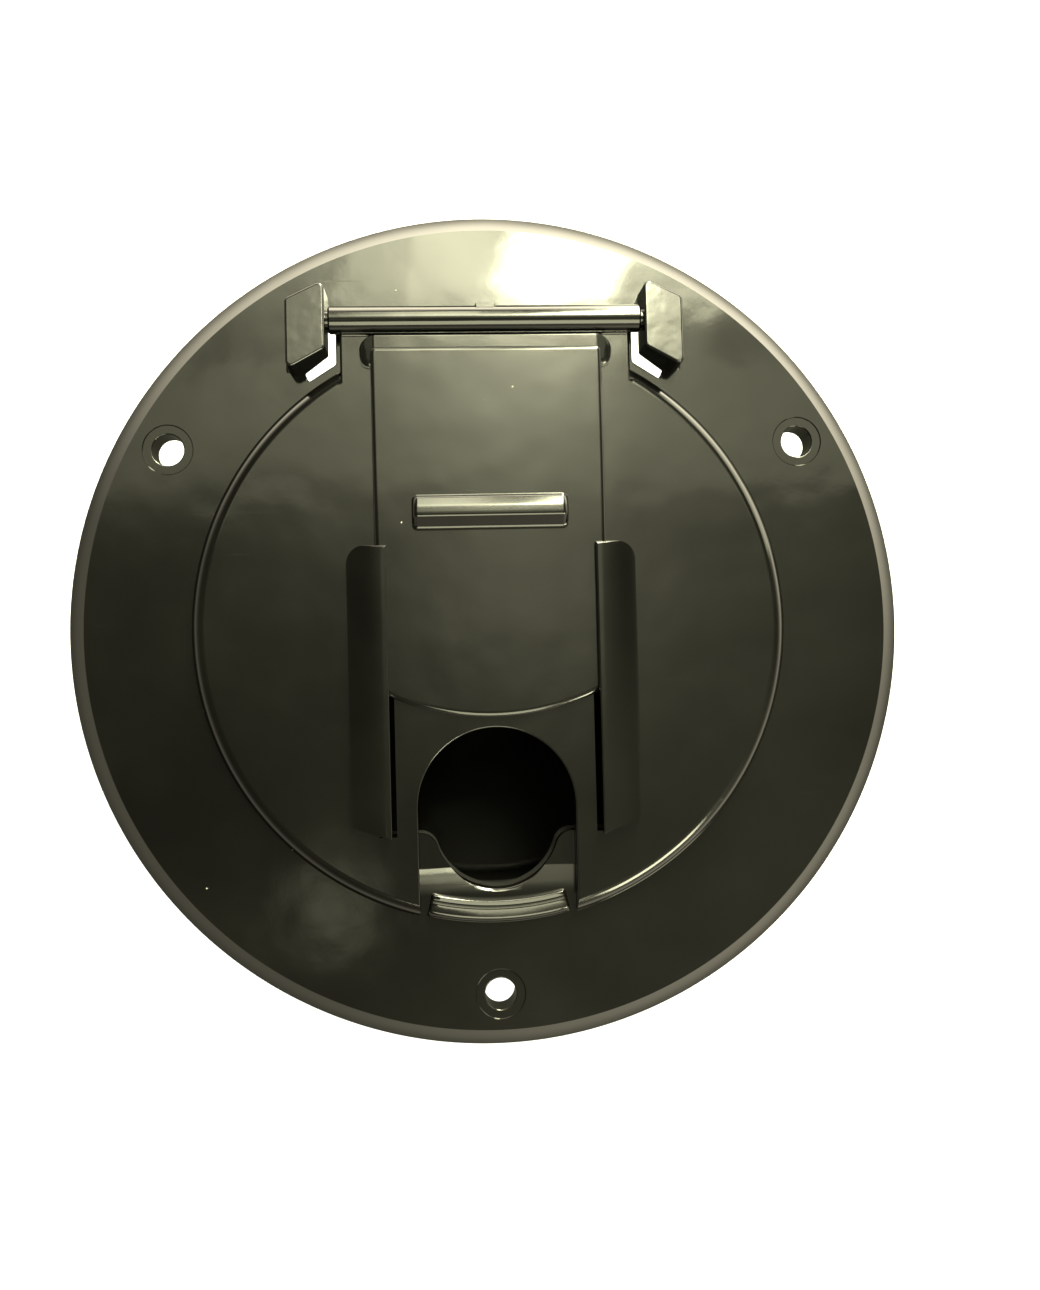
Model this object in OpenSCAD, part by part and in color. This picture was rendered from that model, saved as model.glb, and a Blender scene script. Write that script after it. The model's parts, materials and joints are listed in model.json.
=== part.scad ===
// Round cord hatch: a screw-on flange with a hinged lid, a sliding cord door and a rear cup.
// The origin is the centre of the flange's back face. +Z points out of the face, +Y to the hinge.

/* [Flange] */
// Outside diameter of the flange
flange_d = 140; // [138:1:146]
// Thickness of the flange
flange_t = 5.5; // [5:0.25:5.5]
// Width of the sloping rim round the face
rim_w = 3.1; // [2:0.1:3.2]
// Height at which the slope meets the outside
rim_foot = 2.5; // [1:0.1:3]
// Diameter of the opening behind the lid
opening_d = 86.4; // [82:0.4:87]
// Skin left over the cored pockets in the back
skin_t = 2.5; // [2:0.25:3]

/* [Screw holes] */
// Diameter of the circle through the screw holes
screw_pcd = 122; // [120:0.5:123]
// Diameter of each screw hole
screw_d = 5.2; // [4.2:0.1:5.6]
// Diameter of the sunk ring round each hole
sink_d = 8.4; // [7:0.2:9]
// Depth of the sunk ring
sink_depth = 0.3; // [0.2:0.1:0.8]

/* [Saddle] */
// Distance of the saddle's straight edge from the centre
saddle_edge = 34.1; // [33:0.1:35]
// Diameter of the rounded cut that the cord lies in
cord_cut_d = 20.8; // [18:0.2:21]
// Distance of the cord cut's centre from the flange's centre
cord_cut_y = 33; // [32:0.1:33]
// Rounding of the saddle's two horns
horn_round = 3; // [2:0.25:3]
// Distance of the low ledge's step from the centre
ledge_y = 39.8; // [39:0.1:41]
// Drop of the low ledge
ledge_drop = 0.6; // [0.3:0.1:1]
// Height of the keeper bar above the flange
keeper_h = 1.5; // [1:0.1:2]
// Length of the keeper bar
keeper_l = 23.2; // [20:0.2:24]

/* [Hinge] */
// Distance of the hinge axis from the centre
hinge_y = 50.8; // [50.6:0.1:51.2]
// Height of the hinge axis above the flange's back
hinge_z = 9; // [8.8:0.1:9.2]
// Diameter of the lid's exposed rod
rod_d = 4.5; // [4:0.1:4.6]
// Diameter of the pivot at each end of the rod
pivot_d = 3.2; // [2.8:0.1:3.4]
// Radial clearance of the pivots in the ears
pivot_gap = 0.07; // [0.04:0.01:0.1]
// Half of the distance between the two ears
ear_in = 26.3; // [26.2:0.1:26.6]
// Width of each ear
ear_w = 6.1; // [5.5:0.1:6.5]
// Height of the ears above the flange's back
ear_top = 11.85; // [11.6:0.05:12.2]
// Wall thickness of the hollow ears
ear_wall = 1.6; // [1.4:0.1:1.8]

/* [Lid] */
// Diameter of the lid
lid_d = 98.4; // [97:0.2:99]
// Thickness of the lid
lid_t = 3.2; // [3:0.1:3.3]
// Gap between the closed lid and the flange
lid_gap = 0.3; // [0.3:0.1:0.5]
// Rounding of the lid's top edge
lid_round = 1.4; // [0.8:0.1:1.6]
// Width of the lid's neck
neck_w = 48; // [46:0.5:49]
// Width of the cord notch in the lid
notch_w = 25.9; // [24:0.1:26]
// Distance of the notch's round end from the centre, to the middle of its curve
notch_y = 29.6; // [29:0.1:30.5]
// Depth of the recess under the lid
recess = 0.9; // [0.5:0.1:1.1]

/* [Rails] */
// Half of the gap between the rails' lips
lip_in = 17.1; // [16.8:0.1:17.4]
// Half of the channel's width
channel_in = 19.3; // [19.3:0.05:19.4]
// Half of the width over both rails
rail_out = 23.6; // [23.2:0.1:23.8]
// Height of the rails above the lid
rail_h = 3.4; // [3.3:0.1:3.6]
// Clear height of the channel
channel_h = 1.9; // [1.9:0.05:2]
// End of the rails nearest the hinge
rail_top = 13.4; // [13:0.1:13.4]
// Other end of the rails, at the lip
rail_end = 34.6; // [34:0.1:35]

/* [Slide door] */
// Width of the sliding door
door_w = 38; // [37.5:0.1:38]
// Thickness of the sliding door
door_t = 1.4; // [1.2:0.05:1.4]
// Gap between the lid and the sliding door
door_gap = 0.25; // [0.2:0.05:0.25]
// End of the door nearest the hinge
door_top = 46; // [45:0.1:46]
// Lowest point of the door's round lower edge, below the centre
door_end = 14.9; // [14.5:0.1:15]
// Radius of the door's round lower edge
door_edge_r = 41; // [38:0.5:44]
// Travel of the door between its stops
travel = 29; // [27:0.5:29]
// Length of the finger grip
grip_l = 25.6; // [24:0.2:28]

/* [Rear cup] */
// Outside diameter of the cup that stands in the cut-out
cup_d = 98.2; // [98:0.1:98.6]
// Wall thickness of the cup
cup_wall = 2; // [1.8:0.1:2]
// Depth of the cup behind the flange
cup_depth = 38; // [30:1:60]
// Diameter of the cord inlet in the cup's floor
inlet_d = 30; // [20:1:40]
// Length of the collar that the cup is pushed over
collar_l = 10; // [9:0.5:12]

/* [Hidden] */
$fn = 96;
fine = 180;
plastic = [0.07, 0.07, 0.065];
cut = 1;

lid_z = flange_t + lid_gap;
lid_top = lid_z + lid_t;
door_z = lid_top + door_gap;
door_face = door_z + door_t;
rail_z = lid_top + rail_h;

// Collar, and the bumps on it that hold the cup
cup_gap = 0.1;
collar_r = cup_d / 2 - cup_wall - cup_gap;
collar_wall = 2.4;
snap_n = 3;
snap_w = 11;
snap_h = 2.4;
snap_z = -6.7;
snap_out = 1.3;
window_gap = 0.3;

// Cored pockets in the flange's back
core_in = 53;
core_wall = 3.4;
boss_d = 12.4;
rib_n = 24;
rib_w = 1.3;
hinge_pad = [74, 40];

// Roof over the hollow of each ear
ear_roof = 1.1;

// Slots beside and below each ear
slot_in = 24.9;
slot_foot = [29.55, 41.4];
slot_heel = [30.3, 43.1];
slot_knee = 44.75;

// Ear outline: rise of its two slanted ends above the axis, at the inner face, and their slopes
ear_up = 5.95;
ear_down = -5.1;
slope_up = -0.49;
slope_down = -0.55;

// Keeper bar, concentric with the lid
keeper_in = 45.2;
keeper_out = 49;
keeper_slope = 1.2;

// How far the rod stops short of the ears, and how far each pivot reaches into its ear
rod_gap = 0.5;
pivot_reach = 2.6;

// Underside of the lid: its rim, and the ribs that cross the recess
lid_rim = 2.2;
notch_rim = 1.6;
rib_under = 1.2;
rib_x = [21.45, 34];
rib_y = [22, -4];

// Through slots under the rails' lips
lip_slot_in = 16.4;
lip_slot_top = 12;
lip_slot_end = 34.1;

// Rounding of the rails' outer corner, and how far their outer side stops short of the lip
rail_corner = 2.3;
rail_slant = 2.7;

// Stop bar at the top of the door, and the finger grip
stop_w = 41.7;
stop_low = 42.75;
stop_top = 48.15;
stop_t = 0.85;
stop_round = 2.2;
grip_y = 18.7;
grip_section = [[2.65, -0.2], [2.4, 1.6], [0.6, 1.6], [-1.1, 0.95], [-2.6, -0.2]];

// Rear cup, the gap above its rim, and the shallow groove in the flange's back over that rim
cup_round = 3;
cup_seat = 0.1;
groove_gap = 0.5;
groove_depth = 0.4;

function ear_outline(w) = [
    [ear_in + w, hinge_y + ear_up + slope_up * w - w * sqrt(1 + slope_up * slope_up)],
    [ear_in + ear_w - w,
        hinge_y + ear_up + slope_up * (ear_w - w) - w * sqrt(1 + slope_up * slope_up)],
    [ear_in + ear_w - w,
        hinge_y + ear_down + slope_down * (ear_w - w) + w * sqrt(1 + slope_down * slope_down)],
    [ear_in + w, hinge_y + ear_down + slope_down * w + w * sqrt(1 + slope_down * slope_down)]
];

module both_sides() {
    children();
    mirror([1, 0, 0]) children();
}

module at_screws() {
    for (a = [30, 150, 270])
        rotate([0, 0, a]) translate([screw_pcd / 2, 0, 0]) children();
}

// Half section of a disc from height a to height b, with its top outer edge rounded
module disc_section(r, a, b, round) {
    translate([0, a]) square([r, b - a - round]);
    translate([0, a]) square([r - round, b - a]);
    translate([r - round, b - round]) circle(round);
}

// Plan of the clear opening: a circle less the saddle, with the rounded cord cut in it
module opening_plan() {
    horn_x = sqrt(pow(cord_cut_d / 2 + horn_round, 2) - pow(saddle_edge + horn_round - cord_cut_y, 2));
    horn_y = -saddle_edge - horn_round;
    difference() {
        circle(d = opening_d, $fn = fine);
        translate([-opening_d / 2, -opening_d]) square([opening_d, opening_d - saddle_edge]);
    }
    translate([0, -cord_cut_y]) circle(d = cord_cut_d);
    both_sides() difference() {
        polygon([[0, -cord_cut_y], [horn_x, horn_y], [horn_x, -saddle_edge], [0, -saddle_edge]]);
        translate([horn_x, horn_y]) circle(horn_round);
    }
}

module back_pockets() {
    difference() {
        translate([0, 0, -cut]) rotate_extrude($fn = fine) translate([core_in, 0])
            square([flange_d / 2 - core_wall - core_in, flange_t - skin_t + cut]);
        at_screws() translate([0, 0, -2 * cut]) cylinder(d = boss_d, h = flange_t + 2 * cut);
        translate([-hinge_pad[0] / 2, hinge_pad[1], -2 * cut])
            cube([hinge_pad[0], flange_d, flange_t + 2 * cut]);
        for (i = [0 : rib_n - 1])
            rotate([0, 0, i * 360 / rib_n]) translate([core_in - cut, -rib_w / 2, -2 * cut])
                cube([flange_d / 2, rib_w, flange_t + 2 * cut]);
    }
}

module collar() {
    translate([0, 0, -collar_l]) rotate_extrude($fn = fine) translate([collar_r - collar_wall, 0])
        square([collar_wall, collar_l + flange_t / 2]);
    for (i = [0 : snap_n - 1])
        rotate([0, 0, 90 + i * 360 / snap_n]) intersection() {
            translate([0, -snap_w / 2, snap_z]) cube([collar_r + snap_out, snap_w, snap_h]);
            translate([0, 0, snap_z]) difference() {
                cylinder(r1 = collar_r, r2 = collar_r + snap_out, h = snap_h);
                translate([0, 0, -cut]) cylinder(r = collar_r - collar_wall / 2, h = snap_h + 2 * cut);
            }
        }
}

module keeper() {
    intersection() {
        translate([0, 0, flange_t - cut]) rotate_extrude($fn = fine) polygon([
            [keeper_in, 0], [keeper_out, 0], [keeper_out, cut],
            [keeper_out - keeper_slope, cut + keeper_h], [keeper_in, cut + keeper_h]
        ]);
        translate([-keeper_l / 2, -flange_d / 2, 0]) cube([keeper_l, flange_d / 2, ear_top]);
    }
}

// Space inside one hollow ear, and the slot beside it that runs through the flange
module ear_hollow() {
    translate([0, 0, -cut]) linear_extrude(ear_top - ear_roof + cut) polygon(ear_outline(ear_wall));
    translate([0, 0, -cut]) linear_extrude(flange_t + cut) polygon([
        [slot_in, hinge_y], [slot_in, slot_knee], slot_foot, slot_heel,
        ear_outline(ear_wall)[2], [ear_in + ear_w - ear_wall, hinge_y]
    ]);
    translate([ear_in - cut, hinge_y, hinge_z]) rotate([0, 90, 0])
        cylinder(d = pivot_d + 2 * pivot_gap, h = ear_wall + 2 * cut);
}

module flange() color(plastic) {
    difference() {
        union() {
            rotate_extrude($fn = fine) polygon([
                [0, 0], [flange_d / 2, 0], [flange_d / 2, rim_foot],
                [flange_d / 2 - rim_w, flange_t], [0, flange_t]
            ]);
            collar();
            keeper();
            both_sides() translate([0, 0, flange_t / 2])
                linear_extrude(ear_top - flange_t / 2) polygon(ear_outline(0));
        }
        translate([0, 0, -cut]) linear_extrude(flange_t + 2 * cut) opening_plan();
        translate([-notch_w / 2, -ledge_y, flange_t - ledge_drop])
            cube([notch_w, ledge_y - saddle_edge + cut, ledge_drop + cut]);
        back_pockets();
        translate([0, 0, -cut]) rotate_extrude($fn = fine) translate([collar_r, 0])
            square([cup_d / 2 + groove_gap - collar_r, groove_depth + cut]);
        both_sides() ear_hollow();
        at_screws() translate([0, 0, -cut]) cylinder(d = screw_d, h = flange_t + 2 * cut);
        at_screws() translate([0, 0, flange_t - sink_depth]) cylinder(d = sink_d, h = sink_depth + cut);
    }
}

module rear_cup() color(plastic) {
    r = cup_d / 2;
    difference() {
        translate([0, 0, -cup_depth]) rotate_extrude($fn = fine) difference() {
            union() {
                translate([0, cup_round]) square([r, cup_depth - cup_round - cup_seat]);
                square([r - cup_round, cup_depth / 2]);
                translate([r - cup_round, cup_round]) circle(cup_round);
            }
            translate([-cut, cup_wall]) square([r - cup_wall + cut, cup_depth]);
            translate([-cut, -cut]) square([inlet_d / 2 + cut, cup_depth]);
        }
        for (i = [0 : snap_n - 1])
            rotate([0, 0, 90 + i * 360 / snap_n])
                translate([r - 2 * cup_wall, -snap_w / 2 - window_gap, snap_z - window_gap])
                    cube([3 * cup_wall, snap_w + 2 * window_gap, snap_h + 2 * window_gap]);
    }
}

// Plan of the cord notch, grown by w on every side, from its round end to past the lid's edge
module notch_plan(w) {
    translate([0, -notch_y]) circle(d = notch_w + 2 * w);
    translate([-notch_w / 2 - w, -lid_d]) square([notch_w + 2 * w, lid_d - notch_y]);
}

module rail() {
    intersection() {
        translate([0, rail_top + cut, lid_top]) rotate([90, 0, 0])
            linear_extrude(rail_top + rail_end + 2 * cut) difference() {
                union() {
                    translate([lip_in, -cut]) square([rail_out - rail_h - lip_in, rail_h + cut]);
                    translate([rail_out - rail_h, -cut]) square([rail_h, cut]);
                    translate([rail_out - rail_h, 0]) circle(rail_h);
                }
                square([channel_in, channel_h]);
                translate([0, -rail_h - cut]) square([rail_out, rail_h]);
                square([lip_in, rail_h + cut]);
            }
        translate([0, 0, lid_top - cut]) linear_extrude(rail_h + 2 * cut) {
            polygon([
                [lip_in, -rail_end], [rail_out, -rail_end + rail_slant],
                [rail_out, rail_top - rail_corner], [rail_out - rail_corner, rail_top],
                [lip_in, rail_top]
            ]);
            translate([rail_out - rail_corner, rail_top - rail_corner]) circle(rail_corner);
        }
    }
}

module under_recess() {
    translate([0, 0, lid_z - cut]) difference() {
        cylinder(r = lid_d / 2 - lid_rim, h = recess + cut, $fn = fine);
        translate([0, 0, -cut]) linear_extrude(recess + 3 * cut) notch_plan(notch_rim);
        both_sides() for (x = rib_x)
            translate([x, -lid_d / 2, -cut]) cube([rib_under, lid_d, recess + 3 * cut]);
        for (y = rib_y)
            translate([-lid_d / 2, y, -cut]) cube([lid_d, rib_under, recess + 3 * cut]);
    }
}

module lid() color(plastic) {
    difference() {
        union() {
            rotate_extrude($fn = fine) disc_section(lid_d / 2, lid_z, lid_top, lid_round);
            translate([-neck_w / 2, 0, lid_z]) cube([neck_w, hinge_y, lid_t]);
            both_sides() rail();
        }
        translate([0, 0, lid_z - cut]) linear_extrude(lid_t + 2 * cut) notch_plan(0);
        both_sides() translate([lip_slot_in, -lip_slot_end, lid_z - cut])
            cube([channel_in - lip_slot_in, lip_slot_end + lip_slot_top, lid_t + cut + channel_h]);
        under_recess();
    }
    translate([-ear_in + rod_gap, hinge_y, hinge_z]) rotate([0, 90, 0])
        cylinder(d = rod_d, h = 2 * (ear_in - rod_gap));
    translate([-ear_in - pivot_reach, hinge_y, hinge_z]) rotate([0, 90, 0])
        cylinder(d = pivot_d, h = 2 * (ear_in + pivot_reach));
}

module slide_door() color(plastic) {
    translate([0, 0, door_z]) linear_extrude(door_t) intersection() {
        translate([-door_w / 2, -door_end]) square([door_w, door_top + door_end]);
        translate([0, door_edge_r - door_end]) circle(door_edge_r, $fn = fine);
    }
    translate([0, 0, door_z]) linear_extrude(stop_t) {
        translate([-stop_w / 2, stop_low]) square([stop_w, stop_top - stop_low - stop_round]);
        translate([-stop_w / 2 + stop_round, stop_low])
            square([stop_w - 2 * stop_round, stop_top - stop_low]);
        both_sides() translate([stop_w / 2 - stop_round, stop_top - stop_round]) circle(stop_round);
    }
    translate([-grip_l / 2, grip_y, door_face]) rotate([90, 0, 90])
        linear_extrude(grip_l) polygon(grip_section);
}

flange();
rear_cup();
lid();
slide_door();
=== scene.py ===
"""Round cord hatch: the looks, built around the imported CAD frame.

Shapes are worked out in millimetres, and mesh_from turns them into metres.
"""
import json
import math

import bmesh
import bpy
from mathutils import Matrix, Vector


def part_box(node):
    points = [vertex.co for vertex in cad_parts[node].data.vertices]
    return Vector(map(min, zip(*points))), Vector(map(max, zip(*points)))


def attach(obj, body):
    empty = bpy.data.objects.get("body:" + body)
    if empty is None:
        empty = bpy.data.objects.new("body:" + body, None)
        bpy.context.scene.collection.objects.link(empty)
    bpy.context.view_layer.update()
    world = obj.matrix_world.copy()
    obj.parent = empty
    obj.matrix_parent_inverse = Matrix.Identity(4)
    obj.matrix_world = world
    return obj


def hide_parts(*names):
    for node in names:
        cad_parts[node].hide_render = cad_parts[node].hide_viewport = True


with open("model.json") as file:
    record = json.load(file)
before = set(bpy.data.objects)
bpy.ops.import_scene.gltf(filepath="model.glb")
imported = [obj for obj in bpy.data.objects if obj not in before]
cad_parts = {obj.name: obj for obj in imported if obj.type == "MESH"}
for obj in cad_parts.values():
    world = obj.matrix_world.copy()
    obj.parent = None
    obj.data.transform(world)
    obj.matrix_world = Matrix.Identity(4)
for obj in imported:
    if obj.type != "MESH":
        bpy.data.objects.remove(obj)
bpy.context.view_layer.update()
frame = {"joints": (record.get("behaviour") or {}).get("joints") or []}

MM = 0.001
OVER = 1.0          # how far a cutter runs past the surface that it cuts
WELD = 0.002        # points closer than this are merged
FLAT = 0.02         # faces that turn by less than this many degrees are joined
SMOOTH = 35         # edges that turn by less than this many degrees are shaded smooth
LEVEL = 0.99999     # faces whose normal's Z part is above this count as level
WEIGHING = 60       # how far large faces outweigh small ones in the normals that they share


# ---------------------------------------------------------------- outlines

def arc(cx, cy, r, a0, a1, steps):
    """Points on an arc from angle a0 to a1 in degrees, with both ends."""
    angles = [math.radians(a0 + (a1 - a0) * i / steps) for i in range(steps + 1)]
    return [(cx + r * math.cos(a), cy + r * math.sin(a)) for a in angles]


def circle(cx, cy, r, steps=48):
    """Points round a circle, counterclockwise from its right side."""
    return arc(cx, cy, r, 0, 360, steps)[:-1]


def rounded(corners, steps=6):
    """A closed outline through corners (x, y, radius), rounded to their radii, or sharp at 0."""
    out = []
    for i, (x, y, r) in enumerate(corners):
        corner = Vector((x, y))
        back = (Vector(corners[i - 1][:2]) - corner).normalized()
        on = (Vector(corners[(i + 1) % len(corners)][:2]) - corner).normalized()
        if r == 0:
            out.append((x, y))
            continue
        half = back.angle(on) / 2
        centre = corner + (back + on).normalized() * (r / math.sin(half))
        start = corner + back * (r / math.tan(half)) - centre
        end = corner + on * (r / math.tan(half)) - centre
        a0 = math.atan2(start.y, start.x)
        turn = (math.atan2(end.y, end.x) - a0 + math.pi) % (2 * math.pi) - math.pi
        out += arc(centre.x, centre.y, r, math.degrees(a0), math.degrees(a0 + turn), steps)
    return out


def grown(outline, w, weights=None):
    """A counterclockwise outline grown outwards by w, or by w times each point's weight."""
    out = []
    for i, (x, y) in enumerate(outline):
        x0, y0 = outline[i - 1]
        x1, y1 = outline[(i + 1) % len(outline)]
        a = Vector((y - y0, x0 - x)).normalized()
        b = Vector((y1 - y, x - x1)).normalized()
        move = (a + b) * (w * (weights[i] if weights else 1) / (1 + a.dot(b)))
        out.append((x + move.x, y + move.y))
    return out


# ---------------------------------------------------------------- profiles
# A profile is a list of (growth, height) from the bottom up.

def round_top(w, z, r, steps=5):
    """A convex quarter round that ends a wall standing at growth w, level with height z."""
    return arc(w - r, z - r, r, 0, 90, steps)


def round_foot(w, z, r, steps=5):
    """A convex quarter round that starts a wall at growth w from height z."""
    return arc(w - r, z + r, r, -90, 0, steps)


def cove(w, z, r, steps=5):
    """A concave quarter round at the foot of a wall standing at growth w on height z."""
    return arc(w + r, z + r, r, 270, 180, steps)


def bell(z, r, steps=5):
    """The mouth of a cutter that rounds the edge of its hole at height z, and runs on above it."""
    return [(r - x, y) for x, y in arc(0, z - r, r, 0, 90, steps)] + [(r, z + OVER)]


# ---------------------------------------------------------------- meshes

def mesh_from(name, rings):
    """A closed mesh through rings of points in millimetres, with flat ends."""
    bm = bmesh.new()
    loops = [[bm.verts.new(Vector(p) * MM) for p in ring] for ring in rings]
    for low, high in zip(loops, loops[1:]):
        for i in range(len(low)):
            j = (i + 1) % len(low)
            bm.faces.new((low[i], low[j], high[j], high[i]))
    bm.faces.new(loops[0][::-1])
    bm.faces.new(loops[-1])
    bmesh.ops.recalc_face_normals(bm, faces=bm.faces)
    mesh = bpy.data.meshes.new(name)
    bm.to_mesh(mesh)
    bm.free()
    obj = bpy.data.objects.new(name, mesh)
    bpy.context.scene.collection.objects.link(obj)
    return obj


def solid(outline, profile, weights=None, name="tool"):
    """A solid whose plan at each profile point's height is the outline with that point's growth."""
    rings = [[(x, y, z) for x, y in grown(outline, w, weights)] for w, z in profile]
    return mesh_from(name, rings)


def disc(r, profile, steps=192, name="tool"):
    """A round solid about the Z axis."""
    return solid(circle(0, 0, r, steps), profile, name=name)


def block(low, high):
    """A box from its low corner to its high one."""
    (x0, y0, z0), (x1, y1, z1) = low, high
    return solid([(x0, y0), (x1, y0), (x1, y1), (x0, y1)], [(0, z0), (0, z1)])


def sweep(section, stations, place, name="tool"):
    """A solid with section(w) at each station (t, w), put in space by place(t, a, b)."""
    return mesh_from(name, [[place(t, a, b) for a, b in section(w)] for t, w in stations])


def along_x(t, a, b):
    """Places a sweep's section in planes across the X axis."""
    return (t, a, b)


def about_hinge(t, a, b):
    """Places a sweep's section round the hinge's axis."""
    return (t, HINGE_Y + a, HINGE_Z + b)


def rounded_ends(t0, t1, r0, r1, inner=(), steps=5):
    """Stations from t0 to t1, with the section drawn in by up to r0 and r1 at the round ends."""
    start = [(t0 + r0 * (1 - math.sin(a)), r0 * (1 - math.cos(a)))
             for a in [math.radians(90 - 90 * i / steps) for i in range(steps + 1)]]
    end = [(t1 - r1 * (1 - math.sin(a)), r1 * (1 - math.cos(a)))
           for a in [math.radians(90 * i / steps) for i in range(steps + 1)]]
    return start + [(t, 0) for t in inner] + end


def combine(obj, operation, *tools):
    """Joins obj with the tools, cuts it by them or keeps what they share. The tools are deleted."""
    for tool in tools:
        modifier = obj.modifiers.new("combine", "BOOLEAN")
        modifier.operation = operation
        modifier.object = tool
        modifier.solver = "MANIFOLD"
        bake_modifiers(obj)
        bpy.data.objects.remove(tool)
    return obj


def add(obj, *tools):
    return combine(obj, "UNION", *tools)


def cut(obj, *tools):
    return combine(obj, "DIFFERENCE", *tools)


def keep(obj, *tools):
    return combine(obj, "INTERSECT", *tools)


def bake_modifiers(obj):
    """Applies the object's modifiers to its mesh."""
    depsgraph = bpy.context.evaluated_depsgraph_get()
    mesh = bpy.data.meshes.new_from_object(obj.evaluated_get(depsgraph))
    obj.modifiers.clear()
    obj.data = mesh


def finish_mesh(obj):
    """Cleans the mesh, and shades rounds smooth and flats flat, level ones before others."""
    bm = bmesh.new()
    bm.from_mesh(obj.data)
    bmesh.ops.remove_doubles(bm, verts=bm.verts, dist=WELD * MM)
    bmesh.ops.dissolve_degenerate(bm, edges=bm.edges, dist=WELD * MM)
    bmesh.ops.dissolve_limit(bm, angle_limit=math.radians(FLAT), verts=bm.verts, edges=bm.edges)
    strength = bm.faces.layers.int.new("__mod_weightednormals_faceweight")
    for face in bm.faces:
        face[strength] = int(abs(face.normal.z) > LEVEL)
    bm.to_mesh(obj.data)
    bm.free()
    obj.data.shade_smooth()
    obj.data.set_sharp_from_angle(angle=math.radians(SMOOTH))
    weigh = obj.modifiers.new("weigh", "WEIGHTED_NORMAL")
    weigh.mode = "FACE_AREA"
    weigh.weight = WEIGHING
    weigh.keep_sharp = True
    weigh.use_face_influence = True
    bake_modifiers(obj)
    return obj


def at_angles(angles, make):
    """One tool for each angle, turned about the Z axis."""
    tools = []
    for angle in angles:
        tool = make()
        tool.data.transform(Matrix.Rotation(math.radians(angle), 4, "Z"))
        tools.append(tool)
    return tools


def flipped(obj):
    """The object mirrored in the YZ plane, with its faces turned back outwards."""
    obj.data.transform(Matrix.Scale(-1, 4, Vector((1, 0, 0))))
    obj.data.flip_normals()
    return obj


def as_is(obj):
    """The object unchanged, on the side where it was made."""
    return obj


def leaning(obj, z, y, slope):
    """The object, with what is above height z lowered by the slope times its distance from y."""
    for vertex in obj.data.vertices:
        if vertex.co.z > z * MM:
            vertex.co.z -= abs(vertex.co.y - y * MM) * slope
    return obj


# ---------------------------------------------------------------- sizes that the parts share

def corners_mm(node):
    """The CAD node's box as its low and high corners, in millimetres."""
    return [tuple(v / MM for v in corner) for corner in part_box(node)]


FLANGE_R = corners_mm("flange")[1][0]
EAR_TOP = corners_mm("flange")[1][2]
CUP_R = corners_mm("rear_cup")[1][0]
CUP_Z, CUP_TOP = corners_mm("rear_cup")[0][2], corners_mm("rear_cup")[1][2]
LID_R = corners_mm("lid")[1][0]
LID_Z = corners_mm("lid")[0][2]
RAIL_Z = corners_mm("lid")[1][2]
DOOR_Z = corners_mm("slide_door")[0][2]
hinge = next(j for j in frame["joints"] if j["type"] == "hinge")
HINGE_Y, HINGE_Z = hinge["pos_m"][1] / MM, hinge["pos_m"][2] / MM

FACE_Z = 5.5                # front face of the flange
COLLAR_R = 47.0
COLLAR_LOW = -10.0
SNAP_Z = -6.7               # lower side of the snap bumps
SNAP_H = 2.4
SNAP_W = 11.0
SNAP_ANGLES = (0, 120, 240)
SCREW_R = 61.0              # radius of the circle that the screw holes lie on
SCREW_ANGLES = (30, 150, 270)
LID_TOP = LID_Z + 3.2
DOOR_FACE = DOOR_Z + 1.4
NOTCH_HALF = 12.95          # half the width of the lid's cord notch
NOTCH_Y = -29.6             # centre of the notch's round end
LIP_X = 17.1                # a rail from the door outwards: lip, channel wall and outer side
CHANNEL_X = 19.3
RAIL_X = 23.6
EAR = [(26.2, 45.55), (32.6, 42.05), (32.6, 53.85), (26.2, 56.9)]
ROD_R, ROD_END = 2.25, 25.75
PIVOT_R, PIVOT_REACH, PIVOT_PLAY = 1.6, 2.6, 0.07


# ---------------------------------------------------------------- flange

def opening_outline():
    """The clear opening: a circle closed by the saddle, with a round cord cut between two horns."""
    opening_r, edge_y = 43.2, -34.1
    cord_r, cord_y, horn_r = 10.4, -33.0, 3.0
    horn_y = edge_y - horn_r
    horn_x = math.sqrt((cord_r + horn_r) ** 2 - (horn_y - cord_y) ** 2)
    lean = math.degrees(math.atan2(cord_y - horn_y, horn_x))
    side = math.degrees(math.asin(edge_y / opening_r))
    return (arc(0, cord_y, cord_r, 180 + lean, 360 - lean, 36)
            + arc(horn_x, horn_y, horn_r, 180 - lean, 90, 9)[1:]
            + arc(0, 0, opening_r, side, 180 - side, 120)
            + arc(-horn_x, horn_y, horn_r, 90, lean, 9)[:-1])


def plate():
    """The flange's disc, whose rim falls away from a crease round the face."""
    crease, brow, slope_r, edge_r = math.radians(52), math.radians(40), 19.6, 0.6
    slope_z = FACE_Z - slope_r * math.sin(crease)
    edge_z = slope_z + (slope_r - edge_r) * math.sin(brow)
    slope_x = -edge_r - (slope_r - edge_r) * math.cos(brow)
    rim = (arc(-edge_r, edge_z, edge_r, 0, 40, 4)
           + arc(slope_x, slope_z, slope_r, 40, 52, 4)[1:])
    return disc(FLANGE_R, [(-0.4, 0), (0, 0.4)] + rim, 288, "flange_shell")


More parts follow.
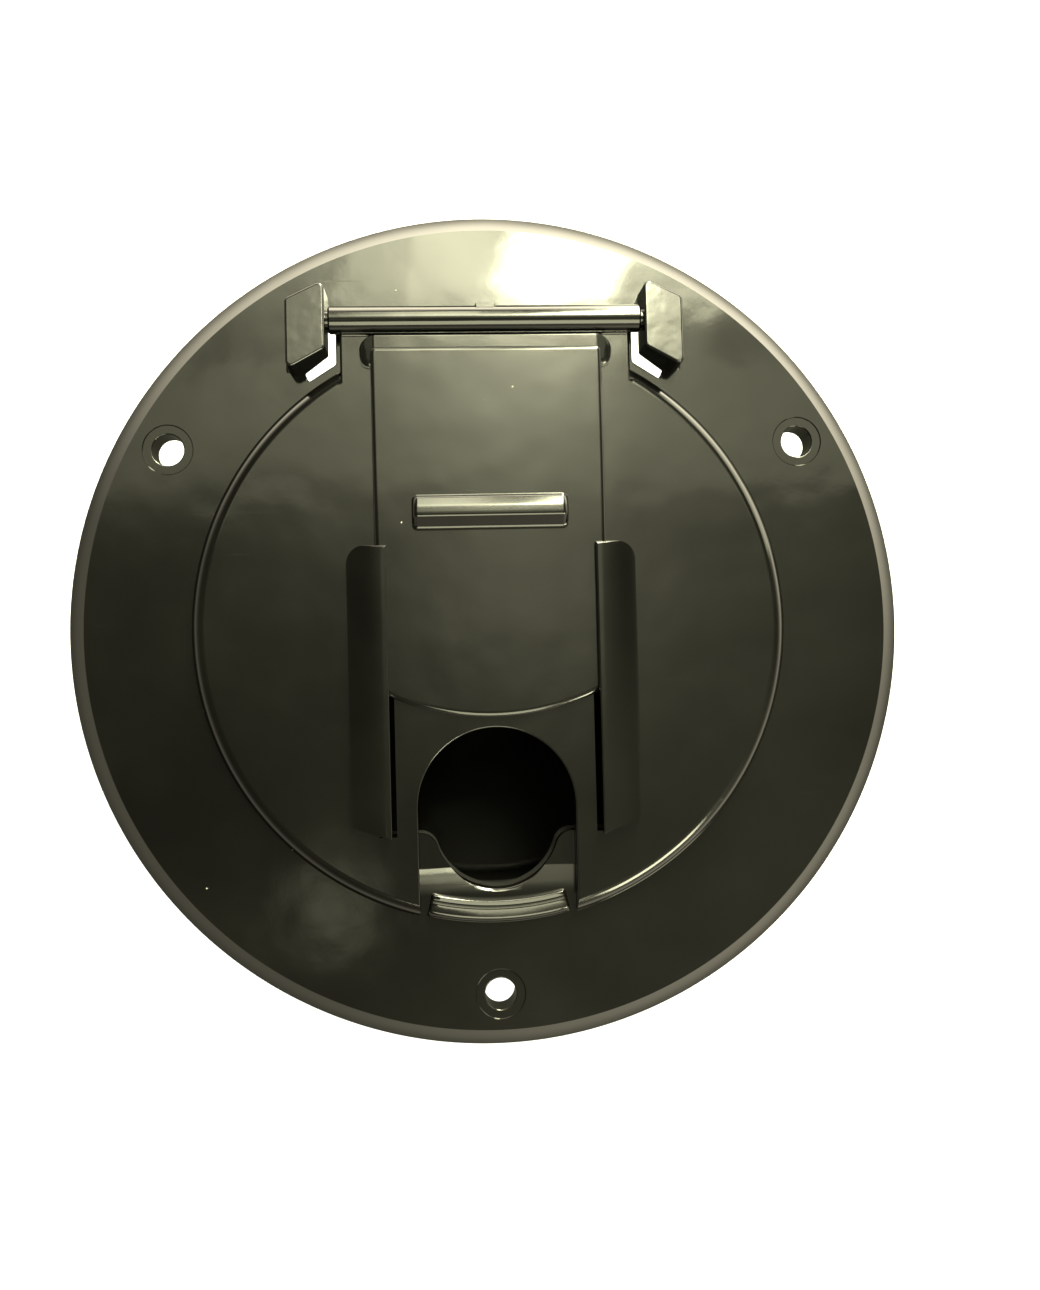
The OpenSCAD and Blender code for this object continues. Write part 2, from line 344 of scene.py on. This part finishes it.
def collar():
    """The ring behind the flange that the cup is pushed over, with its three snap bumps."""
    ring = disc(COLLAR_R, [(-0.5, COLLAR_LOW), (0, COLLAR_LOW + 0.5), (0, FACE_Z / 2)])
    root, crest, top = COLLAR_R - 1, COLLAR_R + 1.1, SNAP_Z + SNAP_H
    bump = [(root, SNAP_Z), (COLLAR_R, SNAP_Z), (crest, top - 0.5), (crest, top), (root, top)]
    ends = [(-SNAP_W / 2, 0), (SNAP_W / 2, 0)]
    return add(ring, *at_angles(SNAP_ANGLES, lambda: sweep(lambda w: bump, ends, along_x)))


def back_pockets():
    """One cutter for the pockets in the back: a ring less its ribs, screw bosses and hinge pad."""
    inner_r, outer_r, boss_r, rib_half, depth = 53, 67.4, 6.2, 0.65, FACE_Z - 2.5
    low, high, far = -5, 10, 80
    ring = disc(outer_r, [(0, -OVER), (0, depth - 0.4), (-0.4, depth)])
    ribs = at_angles([i * 15 for i in range(12)],
                     lambda: block((-far, -rib_half, low), (far, rib_half, high)))
    bosses = at_angles(SCREW_ANGLES,
                       lambda: solid(circle(SCREW_R, 0, boss_r, 32), [(0, low), (0, high)]))
    inner = disc(inner_r, [(0, low), (0, high)])
    return cut(ring, inner, block((-37, 40, low - 1), (37, 90, high + 1)), *bosses, *ribs)


def ear_outline(wall=0.0, corner=0.9):
    """An ear's plan, or that of the hollow inside a wall."""
    return grown(rounded([(x, y, corner) for x, y in EAR]), -wall)


def ear():
    """One hinge ear with drafted sides, and a top that falls a little towards the rim."""
    sides = [(0.15, FACE_Z - 0.5)] + round_top(0, EAR_TOP, 0.4)
    return leaning(solid(ear_outline(), sides), EAR_TOP - 1, EAR[1][1], 0.02)


def ear_skirt():
    """The concave foot of an ear on its outer and upper sides."""
    outline = ear_outline()
    weights = [1 if x > 32.2 and y > 43 or y > 54 and x > 28.2 else 0.02 for x, y in outline]
    foot = [(0.6, FACE_Z - 0.3)] + cove(0.0, FACE_Z - 0.003, 0.6) + [(-0.1, FACE_Z + 0.9)]
    return solid(outline, foot, weights)


def ear_slot():
    """The slot beside and below an ear, open through the flange, with its outer edges rounded."""
    outline = rounded([(24.9, 51.2, 0.5), (24.9, 44.44, 0.7), (29.46, 41.53, 0.3),
                       (30.05, 42.96, 0.3), (26.15, 45.9, 0.5), (26.15, 51.2, 0.3)])
    weights = [1 if x < 25.6 or y < 42.4 + (29.6 - x) * 0.68 else 0.01 for x, y in outline]
    slot = solid(outline, [(0, -OVER)] + bell(FACE_Z, 0.2), weights)
    under = solid([(25.3, 44.6), (29.5, 41.9), (30.9, 43.6), (30.9, 51.2), (25.3, 51.2)],
                  [(0, -2 * OVER), (0, FACE_Z - 0.6)])
    return add(slot, under)


def ear_hollow():
    """The cutter that cores an ear from the back."""
    wall = 1.6
    return solid(ear_outline(wall, 1.9), [(0, -OVER), (0, EAR_TOP - wall), (-0.5, EAR_TOP - 1.1)])


def keeper():
    """The curved bar that holds the cord in its saddle: a flat top that slopes off outwards."""
    r_in, r_mid, r_out, top, half = 45.2, 47.0, 49.1, 7.0, 11.6
    ridge, edge, brow = 46.0, 0.3, 1.35

    def section(w):
        near, far, crown, foot = r_in + w * 0.5, r_out - w * 0.5, top - w, FACE_Z - 1
        return ([(near, foot)]
                + arc(near + edge, crown - edge, edge, 180, 90, 3)
                + [(ridge, crown - 0.14), (ridge + 0.3, crown - 0.15), (ridge + 0.6, crown - 0.05),
                   (ridge + 0.8, crown - 0.04), (ridge + 1.1, crown - 0.14)]
                + arc(far - brow, crown - 0.18 - brow, brow, 80, 0, 8)
                + [(far, foot)])

    def place(t, r, z):
        a = math.radians(270) + t / r_mid
        return (r * math.cos(a), r * math.sin(a), z)

    inner = [1.1 * i for i in range(-9, 10)]
    return sweep(section, rounded_ends(-half, half, 0.6, 0.6, inner), place)


def screw_hole():
    """A screw hole on the X axis, with the sunk ring round it."""
    hole_r, sink, depth = 2.6, 1.5, 0.22
    profile = [(0, -OVER)] + bell(FACE_Z - depth, 0.2, 3)[:-1]
    profile += [(sink - 0.05, FACE_Z - depth), (sink + 0.1, FACE_Z - 0.02),
                (sink + 0.15, FACE_Z + OVER)]
    return solid(circle(SCREW_R, 0, hole_r), profile)


def flange():
    """The plate with its collar, ears, screw holes, saddle and keeper."""
    bore_r, groove_gap, groove_depth = 44.6, 0.5, 0.4
    body = plate()
    add(body, collar())
    cut(body, disc(bore_r, [(0.4, COLLAR_LOW - OVER), (0.4, COLLAR_LOW), (0, COLLAR_LOW + 0.4),
                            (0, 0)]))
    groove = disc(CUP_R + groove_gap, [(0, -20), (0, groove_depth)])
    cut(body, cut(groove, disc(COLLAR_R, [(0, -30), (0, 10)])))
    cut(body, back_pockets())
    for side in (as_is, flipped):
        add(body, side(ear()))
        add(body, side(ear_skirt()))
        cut(body, side(ear_hollow()), side(ear_slot()))
        pivot_hole = sweep(lambda w: circle(0, 0, PIVOT_R + PIVOT_PLAY, 24), [(24, 0), (29, 0)],
                           about_hinge)
        cut(body, side(pivot_hole))
    cut(body, *at_angles(SCREW_ANGLES, screw_hole))
    saddle(body)
    add(body, keeper())
    return finish_mesh(body)


def saddle(body):
    """Cuts the web between the horns, the ramp from it up to the keeper, and the opening."""
    ramp_y, ledge_y, web_y, steps = -44.9, -39.8, -30.0, 16
    depths = [(-NOTCH_HALF, 0.84), (-4, 0.74), (4, 0.58), (NOTCH_HALF, 0.44)]

    def section(depth):
        turns = [math.pi / 2 * i / steps for i in range(steps + 1)]
        ramp = [(ramp_y + (ledge_y - ramp_y) * i / steps, FACE_Z - depth * (1 - math.cos(a)))
                for i, a in enumerate(turns)]
        high = FACE_Z + OVER
        return ramp + [(web_y, FACE_Z - depth * 0.4), (web_y, high), (ramp_y, high)]

    cut(body, sweep(section, depths, along_x))
    cut(body, solid(opening_outline(), [(0, -OVER)] + bell(FACE_Z, 0.85, 6)))


# ---------------------------------------------------------------- rear cup

def rear_cup():
    """The cup behind the panel, with the cord inlet in its floor and windows for the snap bumps."""
    wall, inlet_r, lip, gap, corner_r = 2.0, 15.0, 0.7, 0.3, 0.6
    floor_z = CUP_Z + wall
    cup = disc(CUP_R, round_foot(0, CUP_Z, 3, 6) + round_top(0, CUP_TOP, 0.4, 3),
               name="rear_cup_shell")
    cut(cup, disc(CUP_R - wall, round_foot(0, floor_z, 1.5, 5) + bell(CUP_TOP, 0.3, 3)))
    lower = [(lip, CUP_Z - OVER)] + [(-w, CUP_Z + z) for w, z in round_foot(-lip, 0, lip, 4)]
    cut(cup, disc(inlet_r, lower + bell(floor_z, 0.5, 4), 96))
    half, low, high = SNAP_W / 2 + gap, SNAP_Z - gap, SNAP_Z + SNAP_H + gap
    window = rounded([(-half, low, corner_r), (half, low, corner_r),
                      (half, high, corner_r), (-half, high, corner_r)], 4)
    cut(cup, *at_angles(SNAP_ANGLES, lambda: sweep(lambda w: window, [(40, 0), (55, 0)],
                                                   lambda t, a, b: (a, t, b))))
    return finish_mesh(cup)


# ---------------------------------------------------------------- lid

def notch_outline(extra=0.0):
    """The cord notch: a half round end and straight sides that run out past the lid's edge."""
    half = NOTCH_HALF + extra
    return arc(0, NOTCH_Y, half, 0, 180, 48) + [(-half, -LID_R - 5), (half, -LID_R - 5)]


def rail():
    """One rail: a lip over the channel, a crown that falls away outwards, and shaped ends."""
    top, low, slant, wide = 13.4, -34.6, 2.7, 8.5
    start, end = 38, 84     # the part of a quarter ellipse that the crown follows, in degrees
    outer = math.cos(math.radians(start))
    lip_low = LID_TOP + 1.9
    crown = [(RAIL_X - wide * (outer - x), LID_TOP + (RAIL_Z - LID_TOP) * y)
             for x, y in arc(0, 0, 1, start, end, 12)]
    section = ([(CHANNEL_X, LID_TOP - 0.6), (RAIL_X, LID_TOP - 0.6)] + crown
               + arc(LIP_X + 0.25, crown[-1][1] - 0.25, 0.25, 90, 180, 3)
               + [(LIP_X, lip_low), (CHANNEL_X, lip_low)])
    bar = sweep(lambda w: section, [(top + OVER, 0), (low - OVER, 0)], lambda t, x, z: (x, t, z))
    side = RAIL_X + 0.02
    plan = rounded([(LIP_X - OVER, low, 0), (side, low + slant, 0.6), (side, top, 3.0),
                    (LIP_X - OVER, top, 0)], 8)
    weights = [0.35 if y < 0 else 1.0 for x, y in plan]
    ends = [(0, LID_TOP - 3)] + round_top(0, RAIL_Z + 0.01, 0.6, 6)
    return keep(bar, solid(plan, ends, weights))


def under_recess():
    """One cutter for the recess under the lid, less the rim round the notch and the ribs."""
    wall, half, far, recess = 2.2, 0.6, 60, LID_Z + 0.9
    hollow = disc(LID_R - wall, [(0, LID_Z - OVER), (0, recess - 0.2), (-0.2, recess)])
    ribs = [block((x - half, -far, LID_Z - 3), (x + half, far, LID_Z + 5))
            for x in (-22.05, 22.05, -34.6, 34.6)]
    ribs += [block((-far, y - half, LID_Z - 4), (far, y + half, LID_Z + 6)) for y in (22.6, -3.4)]
    rim = solid(notch_outline(1.6), [(0, LID_Z - 2), (0, LID_Z + 4)])
    return cut(hollow, rim, *ribs)


def rod():
    """The hinge rod with its two pivots and the mark left by the moulding gate."""
    def bar(radius, end):
        chamfer = 0.3
        stations = [(-end, chamfer), (-end + chamfer, 0), (end - chamfer, 0), (end, chamfer)]
        return sweep(lambda w: circle(0, 0, radius - w, 40), stations, about_hinge)

    half, low, high, r = 1.65, 51.6, 53.2, 0.2
    gate = solid(rounded([(-half, low, r), (half, low, r), (half, high, r), (-half, high, r)], 3),
                 [(0, HINGE_Z - 1)] + round_top(0, HINGE_Z + 1.55, r, 3))
    return add(bar(ROD_R, ROD_END), bar(PIVOT_R, EAR[0][0] + PIVOT_REACH), gate)


def neck_fillet():
    """The small concave fillet where the rod stands on the neck."""
    foot, low, r, half = HINGE_Y - ROD_R, LID_TOP - 0.4, 0.5, 23.6
    section = ([(foot - r, low), (foot + r, low), (foot + r, LID_TOP + r)]
               + [(foot - r + a, LID_TOP + r + b) for a, b in arc(0, 0, r, 0, -90, 5)])
    return sweep(lambda w: section, [(-half, 0), (half, 0)], along_x)


def lid():
    """The disc with its neck, rod and rails, its cord notch, and the slots under the rails."""
    neck_half, neck_y = 24, 22
    slot_x, slot_low, slot_high = 16.4, -34.1, 12
    body = disc(LID_R, round_foot(0, LID_Z, 0.3, 3) + round_top(0, LID_TOP, 2.4, 9), 288,
                "lid_shell")
    neck = solid([(-neck_half, neck_y), (neck_half, neck_y),
                  (neck_half, HINGE_Y), (-neck_half, HINGE_Y)],
                 [(-0.2, LID_Z), (0, LID_Z + 0.2)] + round_top(0, LID_TOP, 0.4, 4))
    add(body, neck, rod(), neck_fillet(), rail(), flipped(rail()))
    notch = [(0.2, LID_Z - OVER), (0.2, LID_Z), (0, LID_Z + 0.2)] + bell(LID_TOP, 0.3, 4)
    cut(body, solid(notch_outline(), notch))
    for side in (as_is, flipped):
        cut(body, side(block((slot_x, slot_low, LID_Z - OVER),
                             (CHANNEL_X - 0.01, slot_high, LID_TOP + 0.4))))
    cut(body, under_recess())
    return finish_mesh(body)


# ---------------------------------------------------------------- sliding door

def door_slab():
    """The door's plate. Its edges are rounded most along the curved lower one."""
    half, top, low, edge_r = 19.0, 46.0, -14.9, 41.0
    low_r, top_r = 1.3, 0.8
    side = math.degrees(math.asin(half / edge_r))
    edge = arc(0, low + edge_r, edge_r, 270 - side, 270 + side, 40)
    outline = rounded([(x, y, 0) for x, y in edge[1:-1]]
                      + [(*edge[-1], low_r), (half, top, top_r),
                         (-half, top, top_r), (*edge[0], low_r)], 4)

    def weight(x, y):
        if y < low + 6:
            return 2.0
        if y > top - 1:
            return 1.4
        return 1.2 if x > 0 else 0.6

    return solid(outline, round_foot(0, DOOR_Z, 0.15, 2) + round_top(0, DOOR_FACE, 0.5, 6),
                 [weight(x, y) for x, y in outline], "slide_door_shell")


def stop_bar():
    """The low bar across the top of the door, with lower ends that stick out past its sides."""
    half, low, top, low_r, top_r = 20.85, 42.75, 48.15, 1.7, 2.6
    mid_half, mid_r = 18.6, 0.4
    outline = rounded([(-half, low, low_r), (half, low, low_r),
                       (half, top, top_r), (-half, top, top_r)], 8)
    weights = [0.2 + (1.6 * max(0, min(1, (top - y) / top_r)) if abs(x) > 18 else 0)
               for x, y in outline]
    ends = solid(outline, [(0, DOOR_Z)] + round_top(0, DOOR_FACE - 0.6, 0.75, 7), weights)
    leaning(ends, DOOR_FACE - 1.3, top, 0.1)
    middle = rounded([(-mid_half, low, 0), (mid_half, low, 0),
                      (mid_half, top, mid_r), (-mid_half, top, mid_r)], 4)
    return add(ends, solid(middle, [(0, DOOR_Z + 0.3)] + round_top(0, DOOR_FACE - 0.45, 0.3, 4)))


def grip():
    """The finger grip: steep on the hinge's side, gently crowned, and sloped on the other side."""
    low, ridge, high, top, half, end_r, brow = 16.1, 18.1, 21.35, DOOR_FACE + 1.6, 12.8, 1.0, 0.75

    def section(w):
        crown = top - w
        upper = high - w
        lower = low + w * 0.9
        return ([(lower - 0.45, DOOR_FACE - 0.3), (upper + 0.35, DOOR_FACE - 0.3),
                 (upper + 0.3, DOOR_FACE), (upper + 0.1, DOOR_FACE + 0.12)]
                + arc(upper - brow, crown - 1.1, brow, 10, 70, 5)
                + [(ridge + 1.8 - 0.4 * i, crown - 0.09 * (1 - i / 4.5) ** 2) for i in range(5)]
                + [(ridge - 0.1, crown - 0.06), (ridge - 0.3, crown - 0.2),
                   (lower + 0.4, DOOR_FACE + 0.3), (lower + 0.1, DOOR_FACE + 0.08),
                   (lower - 0.45, DOOR_FACE)])

    return sweep(section, rounded_ends(-half, half, end_r, end_r), along_x)


def slide_door():
    """The door's plate with its stop bar and grip."""
    return finish_mesh(add(door_slab(), stop_bar(), grip()))


# ---------------------------------------------------------------- materials

MIX_A, MIX_B, MIX_RESULT = 6, 7, 2      # the colour sockets of Blender's mix node


class Shader:
    """A material's node tree. Lengths in it are metres in the piece's own space."""

    def __init__(self, name):
        self.material = bpy.data.materials.new(name)
        self.material.use_nodes = True
        self.tree = self.material.node_tree
        self.surface = self.tree.nodes["Principled BSDF"]
        self.place = self.tree.nodes.new("ShaderNodeTexCoord")

    def node(self, kind, inputs, **settings):
        """A node with its settings, and its inputs given as plain values or as sockets to link."""
        node = self.tree.nodes.new(kind)
        for key, value in settings.items():
            setattr(node, key, value)
        self.fill(node, inputs)
        return node

    def fill(self, node, inputs):
        """Sets the node's inputs, or links them where the value is a socket."""
        for key, value in inputs.items():
            if isinstance(value, bpy.types.NodeSocket):
                self.tree.links.new(value, node.inputs[key])
            else:
                node.inputs[key].default_value = value

    def noise(self, scale, detail=2.0, stretch=None):
        """Cloudy noise from 0 to 1, with about scale spots to the metre. It can be stretched."""
        where = self.place.outputs["Object"]
        if stretch:
            where = self.node("ShaderNodeMapping", {"Vector": where, **stretch}).outputs["Vector"]
        inputs = {"Vector": where, "Scale": scale, "Detail": detail}
        return self.node("ShaderNodeTexNoise", inputs).outputs["Fac"]

    def ramp(self, value, low, high, out_low=0.0, out_high=1.0):
        """The value mapped from low..high to out_low..out_high, and held at both ends."""
        inputs = {"Value": value, "From Min": low, "From Max": high,
                  "To Min": out_low, "To Max": out_high}
        return self.node("ShaderNodeMapRange", inputs).outputs["Result"]

    def maths(self, operation, a, b):
        """The result of an operation on two values or sockets."""
        return self.node("ShaderNodeMath", {0: a, 1: b}, operation=operation).outputs[0]

    def add(self, a, b):
        return self.maths("ADD", a, b)

    def times(self, a, b):
        return self.maths("MULTIPLY", a, b)

    def mix(self, factor, a, b):
        """Colour a where the factor is 0, and b where it is 1."""
        inputs = {"Factor": factor, MIX_A: a, MIX_B: b}
        return self.node("ShaderNodeMix", inputs, data_type="RGBA").outputs[MIX_RESULT]

    def bump(self, height, distance, under=None):
        """Relief of the given height in metres, laid over any relief under it."""
        inputs = {"Height": height, "Distance": distance, "Strength": 1.0}
        if under:
            inputs["Normal"] = under
        return self.node("ShaderNodeBump", inputs).outputs["Normal"]


def speckle(shader, scale, size, share):
    """Round specks, 1 inside and 0 outside, in a share of the cells.

    Scale is in cells to the metre, and size is a speck's radius as a share of a cell.
    """
    cells = shader.node("ShaderNodeTexVoronoi",
                        {"Vector": shader.place.outputs["Object"], "Scale": scale})
    near = shader.ramp(cells.outputs["Distance"], size, size * 0.5)
    pick = shader.node("ShaderNodeSeparateColor", {"Color": cells.outputs["Color"]}).outputs[0]
    return shader.times(near, shader.maths("GREATER_THAN", pick, 1 - share))


def gloss_plastic(name):
    """Moulded black ABS with slight waves, handling marks, hairline scratches and a little dust.

    The flange also has sink marks on its ears, and a plain rough finish inside its collar.
    """
    clean, filmed = (0.001, 0.001, 0.0009, 1), (0.0026, 0.0026, 0.0022, 1)
    dusty = (0.3, 0.29, 0.24, 1)
    wave_height, grain_height, mark_height = 7e-5, 4e-6, 3e-5
    shader = Shader(name)
    wave = shader.noise(110, 1.0)
    dust = speckle(shader, 210, 0.035, 0.16)
    film = shader.ramp(shader.noise(55, 4.0), 0.35, 0.75)
    colour = shader.mix(film, clean, filmed)
    colour = shader.mix(dust, colour, dusty)
    hair = shader.noise(1.0, 3.0, {"Rotation": (0, 0, 0.6), "Scale": (90, 1900, 900)})
    patch = shader.ramp(shader.noise(45), 0.5, 0.62)
    hair = shader.times(shader.ramp(hair, 0.68, 0.74), patch)
    rough = shader.ramp(shader.noise(30, 5.0), 0.3, 0.7, 0.06, 0.14)
    rough = shader.add(rough, shader.times(hair, 0.1))
    rough = shader.add(rough, shader.times(dust, 0.7))
    if name == "abs_flange":
        place = shader.place.outputs["Object"]
        height = shader.node("ShaderNodeSeparateXYZ", {"Vector": place}).outputs["Z"]
        reach = shader.node("ShaderNodeVectorMath", {0: place}, operation="LENGTH").outputs["Value"]
        ears = shader.times(shader.ramp(height, 0.011, 0.012),      # high up and far out
                            shader.ramp(reach, 0.044, 0.046, 0.0, 0.45))
        wave = shader.add(wave, shader.times(ears, shader.noise(420, 1.0)))
        inside = shader.times(shader.ramp(height, 0.0045, 0.0035),  # below the face and near
                              shader.ramp(reach, 0.0475, 0.0465))
        rough = shader.add(rough, shader.times(inside, 0.6))
    relief = shader.bump(wave, wave_height)
    relief = shader.bump(shader.noise(620, 2.0), grain_height, relief)
    marks = shader.maths("SUBTRACT", dust, shader.times(hair, 0.02))
    relief = shader.bump(marks, mark_height, relief)
    shader.fill(shader.surface, {"Base Color": colour, "Roughness": rough, "Normal": relief})
    return shader.material


def matt_plastic(name):
    """The same plastic with the fine matt texture of a spark-eroded mould."""
    shader = Shader(name)
    patch = shader.ramp(shader.noise(60, 3.0), 0.3, 0.7)
    colour = shader.mix(patch, (0.0015, 0.0015, 0.0014, 1), (0.003, 0.003, 0.0028, 1))
    grain = shader.bump(shader.noise(3800, 3.0), 2.5e-5)
    rough = shader.ramp(patch, 0, 1, 0.55, 0.68)
    shader.fill(shader.surface, {"Base Color": colour, "Roughness": rough,
                                 "Specular IOR Level": 0.1, "Normal": grain})
    return shader.material


# ---------------------------------------------------------------- stage, lights, camera

def stage():
    """The plain pale floor just under the cup, which glows so that the background is white."""
    gap = 0.2
    bpy.ops.mesh.primitive_plane_add(size=6, location=(0, 0, (CUP_Z - gap) * MM))
    floor = bpy.context.object
    floor.name = "floor"
    floor.visible_glossy = False
    material = bpy.data.materials.new("floor_paint")
    material.use_nodes = True
    shader = material.node_tree.nodes["Principled BSDF"]
    shader.inputs["Base Color"].default_value = (0.3, 0.3, 0.3, 1)
    shader.inputs["Roughness"].default_value = 0.8
    shader.inputs["Emission Color"].default_value = (1, 1, 1, 1)
    shader.inputs["Emission Strength"].default_value = 1.0
    floor.data.materials.append(material)


def panel(name, aim, offset, facing, size, radiance):
    """A soft rectangular lamp at an offset from its aim, with its back turned to facing."""
    light = bpy.data.lights.new(name, "AREA")
    light.shape = "RECTANGLE"
    light.size, light.size_y = size
    light.energy = radiance * math.pi * size[0] * size[1]
    light.color = WARM
    obj = bpy.data.objects.new(name, light)
    obj.location = Vector(aim) + Vector(offset)
    obj.rotation_mode = "QUATERNION"
    obj.rotation_quaternion = Vector(facing).to_track_quat("Z", "Y")
    obj.visible_camera = False
    bpy.context.scene.collection.objects.link(obj)


WARM = (1.0, 0.985, 0.66)
PINK = (1.0, 0.92, 0.68)
BASE = (0.12, WARM)
# Soft light from all round: direction, sharpness, how closely it keeps to the horizon, strength
# and colour.
LOBES = (
    ((0.105, 0.342, 0.934), 25, 0, 1.6, WARM),
    ((0.105, 0.45, 0.88), 100, 0, 9.0, WARM),
    ((-0.1, 0.33, 0.94), 300, 0, 3.5, WARM),
    ((0.07, 0.09, 0.993), 220, 0, 1.2, WARM),
    ((0.35, -0.55, 0.75), 10, 0, 0.8, WARM),
    ((0.035, 0.237, 0.971), 800, 0, 2.6, WARM),
    ((0.085, 0.243, 0.966), 800, 0, 2.6, WARM),
    ((-0.085, -0.175, 0.981), 2500, 0, 1.8, WARM),
    ((0.0, 1.0, 0.0), 0, 8, 0.8, PINK),
    ((0.26, 0.97, 0.0), 2, 8, 15.0, PINK),
    ((0.77, -0.64, 0.0), 2, 8, 1.8, PINK),
)
TOP = (0.0, 0.06, 0.0055)
SLANT = (0.0, 1.74, 2.44)
# Lamps, in metres: name, point that it lights, from there to its centre, direction that it turns
# its back to, size and radiance.
PANELS = (
    ("window", TOP, (0.21, 0.60, 1.0), (0.0, 1.0, 0.0), (0.20, 2.1), 60.0),
    ("curtain", TOP, (0.035, 1.74, 2.44), SLANT, (0.21, 2.12), 15.0),
    ("far_curtain", TOP, (-0.15, 1.74, 2.44), SLANT, (0.18, 2.12), 8.0),
    ("reveal", TOP, (0.66, 1.63, 2.52), SLANT, (0.30, 1.80), 11.0),
    ("alcove", TOP, (1.6, 1.0, 0.8), (1.0, 0.6, 0.4), (1.2, 1.0), 4.0),
    ("side", (0.0, 0.0, 0.01), (1.35, -1.80, 1.86), (1.35, -1.80, 1.86), (0.9, 0.9), 25.0),
    ("low", (0.0, -0.02, 0.01), (0.15, -1.9, 2.25), (0.15, -1.9, 2.25), (1.0, 1.5), 8.0),
    ("sill", TOP, (0.15, 0.57, 2.94), (0.0, 0.57, 2.94), (2.2, 0.33), 1.4),
)


def sky(base, lobes):
    """The light from all round: a plain base, and broad lobes, some flattened to the horizon."""
    world = bpy.data.worlds.new("world")
    bpy.context.scene.world = world
    world.use_nodes = True
    nodes, links = world.node_tree.nodes, world.node_tree.links

    def node(kind, operation, *inputs):
        """A maths node, with its inputs given as plain values or as sockets to link."""
        new = nodes.new(kind)
        new.operation = operation
        for socket, value in zip(new.inputs, inputs):
            if isinstance(value, bpy.types.NodeSocket):
                links.new(value, socket)
            else:
                socket.default_value = value
        return new

    def maths(operation, a, b):
        return node("ShaderNodeMath", operation, a, b).outputs[0]

    def scaled(colour, strength):
        new = node("ShaderNodeVectorMath", "SCALE", colour)
        if isinstance(strength, bpy.types.NodeSocket):
            links.new(strength, new.inputs["Scale"])
        else:
            new.inputs["Scale"].default_value = strength
        return new.outputs["Vector"]

    direction = nodes.new("ShaderNodeTexCoord").outputs["Generated"]
    total = scaled(base[1], base[0])
    across = node("ShaderNodeVectorMath", "CROSS_PRODUCT", direction, (0, 0, 1)).outputs["Vector"]
    level = node("ShaderNodeVectorMath", "LENGTH", across).outputs["Value"]
    for axis, sharpness, band, strength, colour in lobes:
        towards = node("ShaderNodeVectorMath", "DOT_PRODUCT",
                       direction, Vector(axis).normalized()).outputs["Value"]
        flat = maths("POWER", level, 2.0 * band)
        value = maths("POWER", maths("MAXIMUM", towards, 0.0), sharpness)
        value = maths("MULTIPLY", maths("MULTIPLY", value, flat), strength)
        total = node("ShaderNodeVectorMath", "ADD", total, scaled(colour, value)).outputs["Vector"]
    links.new(total, nodes["Background"].inputs["Color"])


def lights():
    """The soft light from all round, and the lamps that the glossy plastic mirrors."""
    sky(BASE, LOBES)
    for setting in PANELS:
        panel(*setting)


def camera():
    """The camera, almost straight above the face."""
    cam = bpy.data.cameras.new("camera")
    cam.sensor_width = 36
    cam.lens = 34.884
    cam.clip_start = 0.01
    obj = bpy.data.objects.new("camera", cam)
    obj.location = (-0.00892, -0.00835, 0.21428)
    obj.rotation_euler = (0.02664, -0.06423, -0.02564)
    bpy.context.scene.collection.objects.link(obj)
    bpy.context.scene.camera = obj


# ---------------------------------------------------------------- build

camera()
stage()
lights()
bpy.context.scene.view_settings.view_transform = "Standard"

for make, node, body, slot, plastic in (
        (flange, "flange", "base", "flange", gloss_plastic),
        (rear_cup, "rear_cup", "base", "cup", matt_plastic),
        (lid, "lid", "lid", "lid", gloss_plastic),
        (slide_door, "slide_door", "slide_door", "door", gloss_plastic)):
    piece = make()
    piece.data.materials.clear()
    piece.data.materials.append(plastic("abs_" + slot))
    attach(piece, body)
    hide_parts(node)
